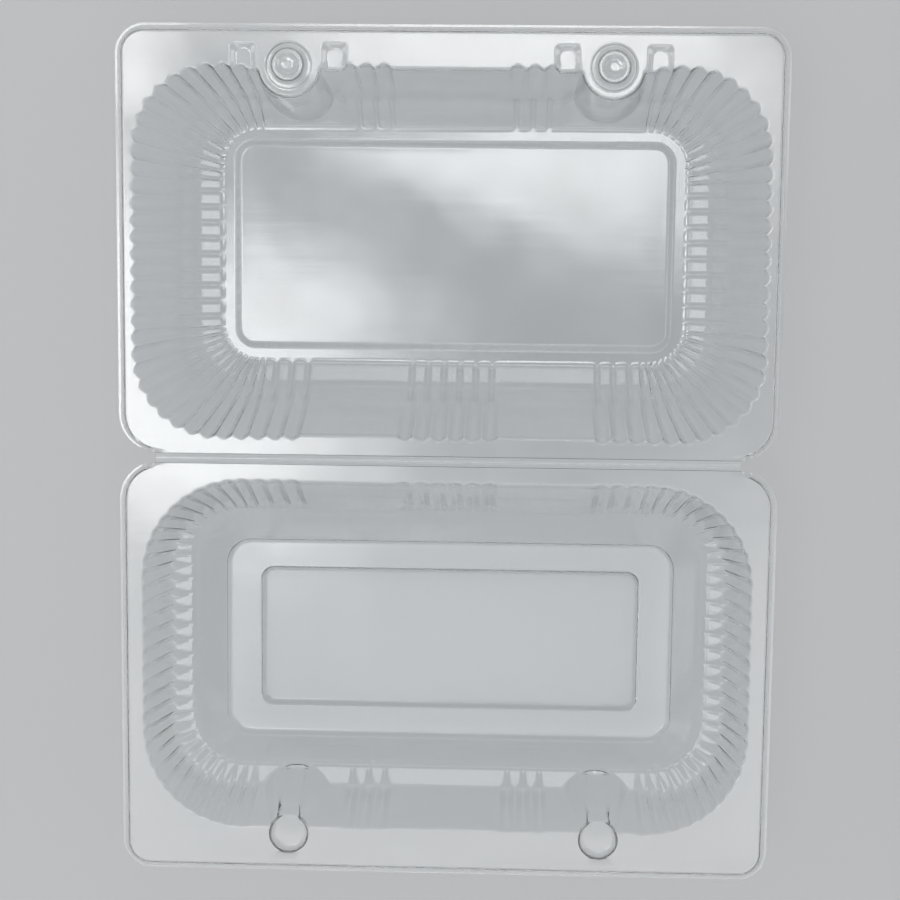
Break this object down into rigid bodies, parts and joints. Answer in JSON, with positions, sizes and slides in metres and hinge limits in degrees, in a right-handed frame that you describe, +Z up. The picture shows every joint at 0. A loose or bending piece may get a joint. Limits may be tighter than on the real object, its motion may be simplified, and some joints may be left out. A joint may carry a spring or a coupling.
{
  "type": "plastic loaf container",
  "caption": "Clear thermoformed hinged container for loaf cakes: fluted tray and fluted lid joined by a living hinge, with round snap studs and sockets at the front.",
  "frame": {"origin": "on the table under the middle of the living hinge, with the container lying open", "axes": "+X along the fold line, +Y from the hinge towards the tray's front, +Z up out of the open mouths"},
  "size_m": [0.19, 0.246, 0.0432],
  "materials": {
    "clear_sheet": "clear gloss"
  },
  "bodies": {
    "tray_body": {"tray": "clear_sheet", "living_hinge": "clear_sheet"},
    "lid_body": {"lid": "clear_sheet"}
  },
  "joints": [
    {"name": "lid_fold", "type": "hinge", "parent": "tray_body", "child": "lid_body", "pos_m": [0, 0, 0.0402], "axis": [-1, 0, 0], "range_deg": [0, 180], "deforming": ["living_hinge"]}
  ]
}
